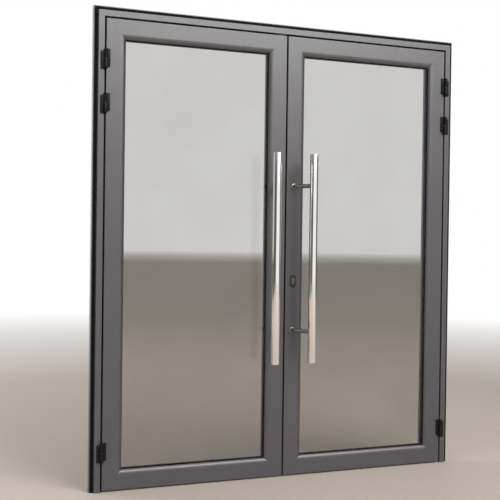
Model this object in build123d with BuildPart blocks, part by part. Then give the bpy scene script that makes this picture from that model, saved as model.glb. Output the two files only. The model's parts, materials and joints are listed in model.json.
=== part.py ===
"""A double-leaf glass entrance door in its aluminium frame, in millimetres.

X runs to the right seen from outside, Y into the building and Z up. The origin is at floor level, in the
middle of the doorway, on the outer face of the frame. Both leaves are shut and open towards -Y.
"""
import os

from build123d import *

os.makedirs("parts", exist_ok=True)

# Clearances, and how far a cut runs past the face that it opens
fit_clearance = 0.3
seal_clearance = 0.3
slide_clearance = 0.1
running_clearance = 0.05
seat_clearance = 0.05
overcut = 1.0

# Leaves and the gaps around them
leaf_width = 890.0
leaf_height = 2138.0
centre_gap = 8.0
side_gap = 8.0
top_gap = 8.0
floor_gap = 8.0

# Aluminium profiles
depth = 65.0
wall = 2.5
edge_radius = 1.2
edge_chamfer = 1.0
leaf_flat = 68.0
bevel_width = 22.0
bevel_depth = 10.0
lip_thickness = 2.5
lip_solid = 7.5
web_at = 30.0
step_width = 20.0
step_depth = 44.0
frame_face = 28.0
stop_width = 20.0
stop_depth = 17.0
flange_width = 20.0
flange_from = 18.0
flange_depth = 24.0

# Glass units and what holds them
pane_thickness = 6.0
cavity_width = 12.0
glass_bite = 13.0
glass_edge_room = 6.0
spacer_inset = 3.0
spacer_width = 9.0
outer_gasket_thickness = 2.5
outer_gasket_show = 2.5
inner_gasket_thickness = 4.0
gasket_inset = 3.0
bead_wall = 2.0
bead_chamfer = 4.0
mitre_clearance = 0.2
block_length = 100.0
block_share = 0.25

# Corner cleats
cleat_arm = 60.0
cleat_front = 4.0
cleat_depth = 36.0

# Seals
stop_gasket_width = 7.0
edge_gasket_width = 12.0
edge_gasket_thickness = 5.0
edge_gasket_inset = 3.0
meeting_seal_from = 10.0
meeting_seal_width = 8.0
meeting_seal_base = 1.5
meeting_seal_reach = 3.5
brush_base_width = 10.0
brush_base_height = 2.5
brush_width = 5.0
brush_reach = 7.0
brush_centre = 32.5

# Surface hinges
hinge_low_rise = 174.0
hinge_top_drop = 185.0
hinge_pair_spacing = 199.0
hinge_axis_out = 10.0
knuckle_radius = 9.0
knuckle_gap = 0.4
hinge_half_height = 80.0
hinge_stagger = 10.0
hinge_plate_reach = 21.5
hinge_plate_thickness = 7.0
hinge_chamfer = 2.0
hinge_pin_radius = 5.0
bush_height = 2.0
bush_radius = 8.4
knuckle_cap = 5.0
hinge_screw_out = 15.0
hinge_screw_spacing = 50.0

# Screws
screw_head_radius = 4.0
screw_shank_radius = 2.1
screw_length = 16.0
plate_screw_head_radius = 3.4
plate_screw_shank_radius = 1.75
plate_screw_length = 12.0
plate_screw_inset = 8.5

# Pull bars
pull_length = 1000.0
pull_bottom = 567.0
pull_radius = 20.0
pull_wall = 2.0
pull_end_thickness = 3.0
pull_from_centre = 95.5
pull_stand_off = 115.0
post_from_edge = 39.0
post_from_end = 150.0
post_radius = 10.5
post_stub = 22.0
post_bend = 18.0
rose_radius = 14.0
rose_thickness = 3.0
pull_bolt_radius = 4.0
pull_bolt_depth = 15.0
pull_bolt_head_radius = 9.0
pull_bolt_head_height = 5.0

# Lock in the right leaf
lock_height = 963.0
lock_backset = 39.0
lock_plate_width = 24.0
lock_plate_thickness = 2.0
lock_plate_length = 226.0
lock_plate_rise = 20.0
lock_case_length = 154.0
lock_case_depth = 56.0
lock_case_thickness = 17.0
lock_case_wall = 1.5
lock_centre = 32.5
bolt_height = 30.0
bolt_rise = 37.0
bolt_throw = 20.0
bolt_held = 22.0
bolt_inset = 0.2
cylinder_radius = 8.5
cylinder_tail_width = 10.0
cylinder_tail_drop = 19.5
cylinder_proud = 3.5
plug_radius = 6.5
key_slot_width = 2.2
key_slot_height = 8.5
key_slot_depth = 24.0
cam_width = 9.6
cam_gap = 10.0
cam_radius = 15.0
cam_nose = 9.0
cam_clearance = 0.4
bridge_height = 9.0
escutcheon_width = 32.0
escutcheon_length = 65.0
escutcheon_thickness = 3.0
escutcheon_drop = 8.0
turn_width = 26.0
turn_thickness = 9.0
turn_length = 14.0
turn_neck = 2.0
cylinder_screw_radius = 2.4
cylinder_screw_length = 46.0

# Strike plate in the left leaf
strike_length = 110.0
strike_room = 0.6

# Flush bolts in the left leaf
flush_bolt_from_edge = 16.0
flush_rod_radius = 5.0
flush_case_length = 100.0
flush_case_width = 16.4
flush_case_depth = 24.0
flush_plate_length = 130.0
flush_plate_width = 22.0
flush_case_from_end = 250.0
flush_throw = 18.0
flush_rest_inset = 1.0
thumb_width = 8.0
thumb_height = 20.0
thumb_inset = 0.3
keeper_length = 44.0
keeper_width = 20.0
keeper_room = 0.5
keeper_screw_inset = 6.0

# Fixing holes through the frame
fixing_radius = 4.5
jamb_fixing_rise = 300.0
jamb_fixing_drop = 382.0
jamb_fixing_count = 4
head_fixing_inset = 180.0
head_fixing_count = 4

# Places worked out from the sizes above
meeting_edge = centre_gap / 2
hinge_edge = meeting_edge + leaf_width
jamb_edge = hinge_edge + side_gap
frame_side = jamb_edge + frame_face
flange_side = frame_side + flange_width
leaf_bottom = floor_gap
leaf_top = leaf_bottom + leaf_height
head_edge = leaf_top + top_gap
frame_top = head_edge + frame_face
sight = leaf_flat + bevel_width
lip_back = bevel_depth + lip_thickness
glass_edge = sight - glass_bite
rebate_floor = glass_edge - glass_edge_room
pane_front = lip_back + outer_gasket_thickness
cavity_front = pane_front + pane_thickness
cavity_back = cavity_front + cavity_width
pane_back = cavity_back + pane_thickness
bead_front = pane_back + inner_gasket_thickness
stop_front = depth - stop_depth
stop_gasket_thickness = stop_front - step_depth - seal_clearance
frame_width = frame_face + stop_width
flange_back = flange_from + flange_depth
fixing_depth = flange_from + flange_depth / 2
hinge_axis_x = hinge_edge + side_gap / 2
hinge_top = leaf_top - hinge_top_drop
hinge_heights = (leaf_bottom + hinge_low_rise, hinge_top - hinge_pair_spacing, hinge_top)
bolt_low = lock_height + bolt_rise - bolt_height / 2
lock_x = meeting_edge + lock_backset
post_x = meeting_edge + post_from_edge
pull_top = pull_bottom + pull_length
post_heights = (pull_bottom + post_from_end, pull_top - post_from_end)
flush_x = meeting_edge + flush_bolt_from_edge

CUT = Mode.SUBTRACT
INTO = Vector(0, 1, 0)
UP = Vector(0, 0, 1)
OVERRUN = flange_width + 10.0
LEFT = -1
RIGHT = 1
SIDES = {"left": LEFT, "right": RIGHT}


def save(part, name):
    """Label one finished piece and write its file."""
    part.part.label = name
    export_step(part.part, f"parts/{name}.step")


def upright(y):
    """A plane facing outwards at depth y, with X to the right and Z up."""
    return Plane.XZ.offset(-y)


def area(x0, y0, x1, y1, mode=Mode.ADD):
    """A rectangle between two corners of the current sketch."""
    with Locations(((x0 + x1) / 2, (y0 + y1) / 2)):
        Rectangle(abs(x1 - x0), abs(y1 - y0), mode=mode)


def slab(y0, y1, x0, z0, x1, z1, mode=Mode.ADD):
    """A block between the depths y0 and y1."""
    with BuildSketch(upright(y0)) as profile:
        area(x0, z0, x1, z1)
    extrude(profile.sketch, amount=-(y1 - y0), mode=mode)


def round_in(y0, y1, places, radius, mode=Mode.ADD):
    """Round bars along Y between two depths, or round holes when subtracted."""
    with BuildSketch(upright(y0)) as profile:
        with Locations(*places):
            Circle(radius)
    extrude(profile.sketch, amount=-(y1 - y0), mode=mode)


def round_up(z0, z1, places, radius, mode=Mode.ADD):
    """Round bars along Z between two heights, or round holes when subtracted."""
    with BuildSketch(Plane.XY.offset(z0)) as profile:
        with Locations(*places):
            Circle(radius)
    extrude(profile.sketch, amount=z1 - z0, mode=mode)


def round_across(x0, x1, places, radius, mode=Mode.ADD):
    """Round bars along X between two places, or round holes when subtracted."""
    with BuildSketch(Plane.YZ.offset(x0)) as profile:
        with Locations(*places):
            Circle(radius)
    extrude(profile.sketch, amount=x1 - x0, mode=mode)


def ring(y0, y1, outer, inner):
    """A rectangular ring between two depths; each rectangle is (x0, z0, x1, z1)."""
    with BuildSketch(upright(y0)) as profile:
        area(*outer)
        area(*inner, mode=CUT)
    extrude(profile.sketch, amount=-(y1 - y0))


def leaf_box(side, inset):
    """The rectangle that lies inset from the edges of a leaf, as (x0, z0, x1, z1)."""
    near = side * (meeting_edge + inset)
    far = side * (hinge_edge - inset)
    return min(near, far), leaf_bottom + inset, max(near, far), leaf_top - inset


def leaf_section(stepped):
    """The leaf profile: x from its outer edge to the glass, y from its outer face inwards."""
    with BuildLine() as outline:
        face = Line((0, 0), (leaf_flat, 0))
        bevel = TangentArc(face @ 1, (sight, bevel_depth), tangent=(1, 0))
        back = [(sight, lip_back), (rebate_floor, lip_back), (rebate_floor, depth)]
        if stepped:
            back += [(step_width, depth), (step_width, step_depth), (0, step_depth), (0, 0)]
        else:
            back += [(0, depth), (0, 0)]
        Polyline(bevel @ 1, *back)
    make_face(outline.edges())
    corner = vertices().sort_by_distance((0, 0, 0))[0]
    fillet(corner, radius=edge_radius)
    rear_chamber_from = step_width + wall if stepped else wall
    area(wall, wall, web_at, step_depth - wall, mode=CUT)
    area(rear_chamber_from, step_depth, web_at, depth - wall, mode=CUT)
    main_from = web_at + wall
    main_to = rebate_floor - wall
    lip_end = sight - lip_solid
    with BuildLine() as outline:
        Polyline(
            (main_from, wall),
            (leaf_flat, wall),
            (lip_end, bevel_depth - lip_thickness),
            (lip_end, bevel_depth),
            (main_to, bevel_depth),
            (main_to, depth - wall),
            (main_from, depth - wall),
            close=True,
        )
    make_face(outline.edges(), mode=CUT)


def stepped_section():
    """The leaf profile for the sides that close against the frame's stop."""
    leaf_section(stepped=True)


def plain_section():
    """The leaf profile for the meeting stile and the bottom rail, which have no stop behind them."""
    leaf_section(stepped=False)


def frame_section():
    """The frame profile: x from its visible outer edge towards the leaf, y from its outer face inwards."""
    with BuildLine() as outline:
        Polyline(
            (0, 0),
            (frame_face, 0),
            (frame_face, stop_front),
            (frame_width, stop_front),
            (frame_width, depth),
            (0, depth),
            (0, flange_back),
            (-flange_width, flange_back),
            (-flange_width, flange_from),
            (0, flange_from),
            close=True,
        )
    make_face(outline.edges())
    fillet(vertices().group_by(Axis.Y)[0], radius=edge_radius)
    area(wall, wall, frame_face - wall, depth - wall, mode=CUT)
    area(frame_face - wall, stop_front + wall, frame_width - wall, depth - wall, mode=CUT)
    area(-flange_width + wall, flange_from + wall, 0, flange_back - wall, mode=CUT)


def bead_section():
    """The glazing bead: x from the leaf's outer edge to the glass, y from the leaf's outer face inwards."""
    with BuildLine() as outline:
        Polyline(
            (rebate_floor, bead_front),
            (sight, bead_front),
            (sight, depth - bead_chamfer),
            (sight - bead_chamfer, depth),
            (rebate_floor, depth),
            close=True,
        )
    make_face(outline.edges())
    with BuildLine() as outline:
        Polyline(
            (rebate_floor + bead_wall, bead_front + bead_wall),
            (sight - bead_wall, bead_front + bead_wall),
            (sight - bead_wall, depth - bead_chamfer - bead_wall / 2),
            (sight - bead_chamfer - bead_wall / 2, depth - bead_wall),
            (rebate_floor + bead_wall, depth - bead_wall),
            close=True,
        )
    make_face(outline.edges(), mode=CUT)


def mitred_run(draw_section, corner_a, corner_b, inward, reach, square_at=None, clearance=0.0):
    """Run a profile between two outer corners, mitred at each end or square at the one named."""
    along = inward.cross(INTO)
    start, end = sorted((corner_a, corner_b), key=lambda corner: corner.dot(along))
    length = (end - start).length
    with BuildSketch(Plane(origin=start - along * OVERRUN, x_dir=inward, z_dir=along)) as profile:
        draw_section()
    extrude(profile.sketch, amount=length + 2 * OVERRUN)
    slope_start = 0 if square_at == start else 1
    slope_end = 0 if square_at == end else 1
    with BuildSketch(Plane(origin=start, x_dir=inward, z_dir=-INTO)) as profile:
        with BuildLine():
            Polyline(
                (-OVERRUN, -OVERRUN * slope_start + clearance),
                (reach, reach * slope_start + clearance),
                (reach, length - reach * slope_end - clearance),
                (-OVERRUN, length + OVERRUN * slope_end - clearance),
                close=True,
            )
        make_face()
    extrude(profile.sketch, amount=2 * depth, both=True, mode=Mode.INTERSECT)


def screw_form(head, axis_dir, head_radius, shank_radius, length, mode=Mode.ADD):
    """A countersunk screw from the middle of its head along axis_dir, or its hole when subtracted."""
    radial = UP if abs(axis_dir.dot(UP)) < 0.5 else Vector(1, 0, 0)
    cone = head_radius - shank_radius
    with BuildSketch(Plane(origin=head, x_dir=radial, z_dir=radial.cross(axis_dir))) as profile:
        with BuildLine():
            shank = [(shank_radius, cone), (shank_radius, length), (0, length)]
            Polyline((0, 0), (head_radius, 0), *shank, close=True)
        make_face()
    revolve(profile.sketch, axis=Axis(head, axis_dir), mode=mode)


def hinge_screw_places(side, on_leaf):
    """The heads of the screws in one side's hinge halves, at the middle of each head."""
    x = side * (hinge_axis_x + (-hinge_screw_out if on_leaf else hinge_screw_out))
    shift = hinge_stagger / 2 if on_leaf else -hinge_stagger / 2
    rises = (shift - hinge_screw_spacing / 2, shift + hinge_screw_spacing / 2)
    return [Vector(x, -hinge_plate_thickness, height + rise) for height in hinge_heights for rise in rises]


def hinge_screw_holes(side, on_leaf):
    """Cut the holes of one side's hinge screws."""
    for head in hinge_screw_places(side, on_leaf):
        screw_form(head, INTO, screw_head_radius, screw_shank_radius, screw_length, mode=CUT)


def cleat(corner_x, corner_z, turn_x, turn_z, outer, inner, y0, y1):
    """An L-shaped block that fills the chambers of two profiles behind their mitre."""
    tip = inner + cleat_arm
    steps = [(outer, outer), (tip, outer), (tip, inner), (inner, inner), (inner, tip), (outer, tip)]
    with BuildSketch(upright(y0)) as profile:
        with BuildLine():
            Polyline(*[(corner_x + turn_x * a, corner_z + turn_z * b) for a, b in steps], close=True)
        make_face()
    extrude(profile.sketch, amount=-(y1 - y0))


def doorway_strip(half_width, top, strip_width, foot, y0, thickness):
    """A seal up one jamb, across the head and down the other; half_width and top are its inner edges."""
    outer_x = half_width + strip_width
    outer_z = top + strip_width
    with BuildSketch(upright(y0)) as profile:
        area(-outer_x, foot, outer_x, outer_z)
        area(-half_width, foot, half_width, top, mode=CUT)
    extrude(profile.sketch, amount=-thickness)


def euro_profile(clearance=0.0):
    """The round head and the tail of the lock cylinder, in a sketch that faces outwards."""
    with Locations((lock_x, lock_height)):
        Circle(cylinder_radius + clearance)
    half_tail = cylinder_tail_width / 2 + clearance
    area(lock_x - half_tail, lock_height - cylinder_tail_drop, lock_x + half_tail, lock_height)
    with Locations((lock_x, lock_height - cylinder_tail_drop)):
        Circle(half_tail)


def euro_hole(y0, y1, clearance):
    """Cut the lock cylinder's hole between two depths."""
    with BuildSketch(upright(y0)) as profile:
        euro_profile(clearance)
    extrude(profile.sketch, amount=-(y1 - y0), mode=CUT)


def edge_plate_screw_places(side, centre_z, length, plate_thickness):
    """The heads of the two screws of a plate on a meeting edge."""
    x = side * (meeting_edge - plate_thickness)
    reach = length / 2 - plate_screw_inset
    return [Vector(x, lock_centre, centre_z - reach), Vector(x, lock_centre, centre_z + reach)]


def plate_screw(head, axis_dir, mode=Mode.ADD):
    """One of the small screws of the edge plates, or its hole."""
    sizes = (plate_screw_head_radius, plate_screw_shank_radius, plate_screw_length)
    screw_form(head, axis_dir, *sizes, mode=mode)


def evenly(first, last, count):
    """Places spread evenly from the first to the last."""
    return [first + (last - first) * i / (count - 1) for i in range(count)]


# Frame fixings, at the middle of the flange
jamb_fixing_heights = evenly(jamb_fixing_rise, frame_top - jamb_fixing_drop, jamb_fixing_count)
head_fixing_reach = frame_side - head_fixing_inset
head_fixing_places = evenly(-head_fixing_reach, head_fixing_reach, head_fixing_count)

# Flush bolts, mirrored about the middle of the leaf: 1 is the upper one and -1 the lower one
flush_ends = {1: leaf_top, -1: leaf_bottom}
flush_centres = {up: end - up * flush_case_from_end for up, end in flush_ends.items()}
flush_thumb_middles = {up: flush_centres[up] - up * flush_throw / 2 for up in flush_ends}
lock_plate_centre = lock_height + lock_plate_rise
strike_centre = lock_height + bolt_rise
edge_screws = {
    "left": edge_plate_screw_places(LEFT, strike_centre, strike_length, lock_plate_thickness)
    + edge_plate_screw_places(LEFT, flush_centres[1], flush_plate_length, lock_plate_thickness)
    + edge_plate_screw_places(LEFT, flush_centres[-1], flush_plate_length, lock_plate_thickness),
    "right": edge_plate_screw_places(RIGHT, lock_plate_centre, lock_plate_length, lock_plate_thickness),
}
keeper_screw_reach = keeper_length / 2 - keeper_screw_inset
keeper_screws = [
    Vector(-flush_x + reach, lock_centre, head_edge - lock_plate_thickness)
    for reach in (-keeper_screw_reach, keeper_screw_reach)
]

# Jambs, cut square at the floor
for name, side in SIDES.items():
    foot = Vector(side * frame_side, 0, 0)
    with BuildPart() as jamb:
        corner = Vector(side * frame_side, 0, frame_top)
        mitred_run(frame_section, foot, corner, Vector(-side, 0, 0), frame_width, square_at=foot)
        places = [(fixing_depth, height) for height in jamb_fixing_heights]
        hole_ends = (side * (jamb_edge - overcut), side * (flange_side + overcut))
        round_across(*hole_ends, places, fixing_radius, CUT)
        hinge_screw_holes(side, on_leaf=False)
    save(jamb, f"{name}_jamb")

with BuildPart() as frame_head:
    mitred_run(
        frame_section,
        Vector(-frame_side, 0, frame_top),
        Vector(frame_side, 0, frame_top),
        Vector(0, 0, -1),
        frame_width,
    )
    places = [(x, fixing_depth) for x in head_fixing_places]
    round_up(head_edge - overcut, frame_top + flange_width + overcut, places, fixing_radius, CUT)
    rod_place = [(-flush_x, lock_centre)]
    rod_hole = flush_rod_radius + keeper_room
    round_up(head_edge - overcut, head_edge + wall + overcut, rod_place, rod_hole, CUT)
    for head in keeper_screws:
        plate_screw(head, UP, mode=CUT)
save(frame_head, "frame_head")

with BuildPart() as frame_corner_cleats:
    for side in SIDES.values():
        cleat(
            side * frame_side,
            frame_top,
            -side,
            -1,
            wall + fit_clearance,
            frame_face - wall - fit_clearance,
            cleat_front,
            cleat_front + cleat_depth,
        )
save(frame_corner_cleats, "frame_corner_cleats")

with BuildPart() as frame_stop_gasket:
    doorway_strip(
        hinge_edge - stop_gasket_width - edge_radius,
        leaf_top - stop_gasket_width - edge_radius,
        stop_gasket_width,
        0,
        stop_front - stop_gasket_thickness,
        stop_gasket_thickness,
    )
save(frame_stop_gasket, "frame_stop_gasket")

with BuildPart() as frame_edge_gaskets:
    for face, thickness in ((flange_from, -edge_gasket_thickness), (flange_back, edge_gasket_thickness)):
        doorway_strip(
            frame_side + edge_gasket_inset,
            frame_top + edge_gasket_inset,
            edge_gasket_width,
            0,
            face,
            thickness,
        )
save(frame_edge_gaskets, "frame_edge_gaskets")

with BuildPart() as head_bolt_keeper:
    with BuildSketch(Plane.XY.offset(head_edge - lock_plate_thickness)):
        with Locations((-flush_x, lock_centre)):
            SlotOverall(keeper_length, keeper_width)
            Circle(flush_rod_radius + keeper_room, mode=CUT)
    extrude(amount=lock_plate_thickness)
    for head in keeper_screws:
        plate_screw(head, UP, mode=CUT)
save(head_bolt_keeper, "head_bolt_keeper")


def hinge_half(side, height, on_leaf):
    """Half of a surface hinge: a plate on its profile with a knuckle around the pin."""
    up = 1 if on_leaf else -1
    out = -side if on_leaf else side
    axis_x = side * hinge_axis_x
    place = [(axis_x, -hinge_axis_out)]
    own_end = height + up * (hinge_half_height + hinge_stagger) / 2
    other_end = height - up * (hinge_half_height - hinge_stagger) / 2
    knuckle_from = height + up * bush_height / 2
    near = axis_x + out * side_gap / 2
    far = axis_x + out * hinge_plate_reach
    with BuildSketch(Plane.XY.offset(other_end)) as profile:
        with BuildLine():
            Polyline(
                (near, 0),
                (far, 0),
                (far, -hinge_plate_thickness + hinge_chamfer),
                (far - out * hinge_chamfer, -hinge_plate_thickness),
                (near, -hinge_plate_thickness),
                close=True,
            )
        make_face()
    extrude(profile.sketch, amount=own_end - other_end)
    round_up(knuckle_from, other_end - up, place, knuckle_radius + knuckle_gap, CUT)
    round_up(knuckle_from, own_end, place, knuckle_radius)
    round_up(knuckle_from, own_end - up * knuckle_cap, place, hinge_pin_radius + running_clearance, CUT)


for name, side in SIDES.items():
    for on_leaf, label in ((False, "hinge_frame_halves"), (True, "hinge_leaf_halves")):
        with BuildPart() as halves:
            for height in hinge_heights:
                hinge_half(side, height, on_leaf)
            hinge_screw_holes(side, on_leaf)
        save(halves, f"{name}_{label}")

hinge_axes = [(side * hinge_axis_x, -hinge_axis_out) for side in SIDES.values()]
pin_reach = (hinge_half_height + hinge_stagger) / 2 - knuckle_cap - fit_clearance
with BuildPart() as hinge_pins:
    for height in hinge_heights:
        round_up(height - pin_reach, height + pin_reach, hinge_axes, hinge_pin_radius)
save(hinge_pins, "hinge_pins")

with BuildPart() as hinge_bushes:
    for height in hinge_heights:
        bush_from = height - bush_height / 2
        bush_to = height + bush_height / 2 - fit_clearance
        round_up(bush_from, bush_to, hinge_axes, bush_radius)
        round_up(bush_from, bush_to, hinge_axes, hinge_pin_radius + running_clearance, CUT)
save(hinge_bushes, "hinge_bushes")

with BuildPart() as frame_screws:
    for side in SIDES.values():
        for head in hinge_screw_places(side, on_leaf=False):
            screw_form(head, INTO, screw_head_radius, screw_shank_radius, screw_length)
    for head in keeper_screws:
        plate_screw(head, UP)
save(frame_screws, "frame_screws")


def edge_plate_screw_holes(name):
    """Cut the holes of the small screws in one leaf's meeting edge."""
    for head in edge_screws[name]:
        plate_screw(head, Vector(SIDES[name], 0, 0), CUT)


def flush_bolt_pockets():
    """Cut the openings for the two flush bolts in the left leaf's meeting edge."""
    half_width = flush_case_width / 2 + fit_clearance
    for centre in flush_centres.values():
        half_length = flush_case_length / 2 + fit_clearance
        near = lock_centre - half_width
        far = lock_centre + half_width
        with BuildSketch(Plane.YZ.offset(-meeting_edge + overcut)) as profile:
            area(near, centre - half_length, far, centre + half_length)
        extrude(profile.sketch, amount=-flush_case_depth - overcut - fit_clearance, mode=CUT)


def lock_pocket():
    """Cut the openings for the lock case and its cylinder in the right leaf's meeting stile."""
    half_width = lock_case_thickness / 2 + fit_clearance
    half_length = lock_case_length / 2 + fit_clearance
    with BuildSketch(Plane.YZ.offset(meeting_edge - overcut)) as profile:
        area(
            lock_centre - half_width,
            lock_plate_centre - half_length,
            lock_centre + half_width,
            lock_plate_centre + half_length,
        )
    extrude(profile.sketch, amount=lock_case_depth + overcut + fit_clearance, mode=CUT)
    euro_hole(-overcut, depth + overcut, fit_clearance)


def strike_opening():
    """Cut the bolt's opening in the left leaf's meeting edge."""
    half_width = (lock_case_thickness - 2 * lock_case_wall) / 2 + strike_room
    half_height = bolt_height / 2 + strike_room
    with BuildSketch(Plane.YZ.offset(-meeting_edge - web_at)) as profile:
        area(
            lock_centre - half_width,
            strike_centre - half_height,
            lock_centre + half_width,
            strike_centre + half_height,
        )
    extrude(profile.sketch, amount=web_at + lock_plate_thickness + overcut, mode=CUT)


def trim_rebate(name):
    """Cut back the ends of the plain profiles where the frame's stop passes behind the leaf."""
    side = SIDES[name]
    edge = side * (hinge_edge - step_width)
    over = side * (hinge_edge + overcut)
    top = leaf_top + overcut
    slab(step_depth, depth + overcut, -over, leaf_top - step_width, over, top, CUT)
    slab(step_depth, depth + overcut, edge, leaf_bottom - overcut, over, top, CUT)


for name, side in SIDES.items():
    hinge_low = Vector(side * hinge_edge, 0, leaf_bottom)
    hinge_high = Vector(side * hinge_edge, 0, leaf_top)
    meeting_low = Vector(side * meeting_edge, 0, leaf_bottom)
    meeting_high = Vector(side * meeting_edge, 0, leaf_top)

    with BuildPart() as hinge_stile:
        mitred_run(stepped_section, hinge_low, hinge_high, Vector(-side, 0, 0), sight)
        hinge_screw_holes(side, on_leaf=True)
    save(hinge_stile, f"{name}_hinge_stile")

    with BuildPart() as meeting_stile:
        mitred_run(plain_section, meeting_low, meeting_high, Vector(side, 0, 0), sight)
        trim_rebate(name)
        post_places = [(side * post_x, height) for height in post_heights]
        round_in(-overcut, depth + overcut, post_places, pull_bolt_radius + fit_clearance, CUT)
        edge_plate_screw_holes(name)
        if side == LEFT:
            flush_bolt_pockets()
            strike_opening()
        else:
            lock_pocket()
    save(meeting_stile, f"{name}_meeting_stile")

    with BuildPart() as top_rail:
        mitred_run(stepped_section, meeting_high, hinge_high, Vector(0, 0, -1), sight)
        if side == LEFT:
            rod_place = [(-flush_x, lock_centre)]
            rod_hole = flush_rod_radius + slide_clearance
            round_up(leaf_top - wall - overcut, leaf_top + overcut, rod_place, rod_hole, CUT)
    save(top_rail, f"{name}_top_rail")

    with BuildPart() as bottom_rail:
        mitred_run(plain_section, meeting_low, hinge_low, Vector(0, 0, 1), sight)
        trim_rebate(name)
        if side == LEFT:
            rod_place = [(-flush_x, lock_centre)]
            rod_hole = flush_rod_radius + slide_clearance
            round_up(leaf_bottom - overcut, leaf_bottom + wall + overcut, rod_place, rod_hole, CUT)
    save(bottom_rail, f"{name}_bottom_rail")

    with BuildPart() as corner_cleats:
        for corner_x, turn_x in ((side * hinge_edge, -side), (side * meeting_edge, side)):
            for corner_z, turn_z in ((leaf_bottom, 1), (leaf_top, -1)):
                cleat(
                    corner_x,
                    corner_z,
                    turn_x,
                    turn_z,
                    web_at + wall + fit_clearance,
                    rebate_floor - wall - fit_clearance,
                    cleat_front,
                    cleat_front + cleat_depth,
                )
    save(corner_cleats, f"{name}_corner_cleats")

    with BuildPart() as glass_panes:
        slab(pane_front, cavity_front, *leaf_box(side, glass_edge))
        slab(cavity_back, pane_back, *leaf_box(side, glass_edge))
    save(glass_panes, f"{name}_glass_panes")

    with BuildPart() as pane_spacer:
        spacer_outside = leaf_box(side, glass_edge + spacer_inset)
        spacer_inside = leaf_box(side, glass_edge + spacer_inset + spacer_width)
        ring(cavity_front, cavity_back, spacer_outside, spacer_inside)
    save(pane_spacer, f"{name}_pane_spacer")

    with BuildPart() as glazing_gaskets:
        gasket_outside = leaf_box(side, glass_edge + gasket_inset)
        ring(lip_back, pane_front, gasket_outside, leaf_box(side, sight + outer_gasket_show))
        ring(pane_back, bead_front, gasket_outside, leaf_box(side, sight + outer_gasket_show))
    save(glazing_gaskets, f"{name}_glazing_gaskets")

    sides_of_leaf = (
        (hinge_low, hinge_high, Vector(-side, 0, 0)),
        (meeting_low, meeting_high, Vector(side, 0, 0)),
        (meeting_high, hinge_high, Vector(0, 0, -1)),
        (meeting_low, hinge_low, Vector(0, 0, 1)),
    )
    beads = []
    for corner_a, corner_b, inward in sides_of_leaf:
        with BuildPart() as bead:
            mitred_run(bead_section, corner_a, corner_b, inward, sight, clearance=mitre_clearance)
        beads.append(bead.part)
    with BuildPart() as glazing_beads:
        add(beads)
    save(glazing_beads, f"{name}_glazing_beads")

    with BuildPart() as setting_blocks:
        x0, z0, x1, z1 = leaf_box(side, glass_edge)
        for share in (block_share, 1 - block_share):
            middle = x0 + share * (x1 - x0)
            block_ends = (middle - block_length / 2, middle + block_length / 2)
            slab(pane_front, pane_back, block_ends[0], z0 - glass_edge_room, block_ends[1], z0)
    save(setting_blocks, f"{name}_setting_blocks")

    with BuildPart() as meeting_seal:
        edge = side * meeting_edge
        with BuildSketch(Plane.XY.offset(leaf_bottom)):
            base_face = edge - side * meeting_seal_base
            area(edge, meeting_seal_from, base_face, meeting_seal_from + meeting_seal_width)
            with Locations((base_face, meeting_seal_from + meeting_seal_width / 2)):
                Circle(meeting_seal_reach - meeting_seal_base)
            area(edge, meeting_seal_from, edge + side * meeting_seal_width, stop_front, CUT)
        extrude(amount=leaf_height)
    save(meeting_seal, f"{name}_meeting_seal")

    with BuildPart() as bottom_brush:
        brush_near = flush_x + 2 * flush_rod_radius
        brush_far = hinge_edge - step_width
        half_base = brush_base_width / 2
        half_brush = brush_width / 2
        base_low = leaf_bottom - brush_base_height
        brush_low = leaf_bottom - brush_reach
        ends = (side * brush_near, side * brush_far)
        slab(brush_centre - half_base, brush_centre + half_base, ends[0], base_low, ends[1], leaf_bottom)
        slab(brush_centre - half_brush, brush_centre + half_brush, ends[0], brush_low, ends[1], base_low)
    save(bottom_brush, f"{name}_bottom_brush")

    with BuildPart() as leaf_screws:
        for head in hinge_screw_places(side, on_leaf=True):
            screw_form(head, INTO, screw_head_radius, screw_shank_radius, screw_length)
        for head in edge_screws[name]:
            plate_screw(head, Vector(side, 0, 0))
    save(leaf_screws, f"{name}_leaf_screws")

    bar_x = side * pull_from_centre
    with BuildPart() as pull_bar:
        round_up(pull_bottom, pull_top, [(bar_x, -pull_stand_off)], pull_radius)
        chamfer(edges().filter_by(GeomType.CIRCLE), edge_chamfer)
        hollow_from = pull_bottom + pull_end_thickness
        hollow_to = pull_top - pull_end_thickness
        round_up(hollow_from, hollow_to, [(bar_x, -pull_stand_off)], pull_radius - pull_wall, CUT)
        run = Vector(side * (pull_from_centre - post_x), -(pull_stand_off - post_stub), 0)
        for height in post_heights:
            with BuildSketch(Plane(origin=(bar_x, -pull_stand_off, height), z_dir=-run)):
                Circle(pull_bolt_radius)
            extrude(amount=pull_radius + overcut, mode=CUT)
    save(pull_bar, f"{name}_pull_bar")

    with BuildPart() as pull_posts:
        for height in post_heights:
            root = Vector(side * post_x, 0, height)
            bend = Vector(side * post_x, -post_stub, height)
            tip = Vector(bar_x, -pull_stand_off, height)
            with BuildLine() as path:
                FilletPolyline(root, bend, tip, radius=post_bend)
            with BuildSketch(Plane(origin=root, z_dir=-INTO)):
                Circle(post_radius)
            sweep(path=path.line)
            round_in(-rose_thickness, 0, [(side * post_x, height)], rose_radius)
            round_in(-pull_bolt_depth, 0, [(side * post_x, height)], pull_bolt_radius + seat_clearance, CUT)
        bar_place = [(bar_x, -pull_stand_off)]
        round_up(pull_bottom, pull_top, bar_place, pull_radius + seat_clearance, CUT)
    save(pull_posts, f"{name}_pull_posts")

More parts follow.
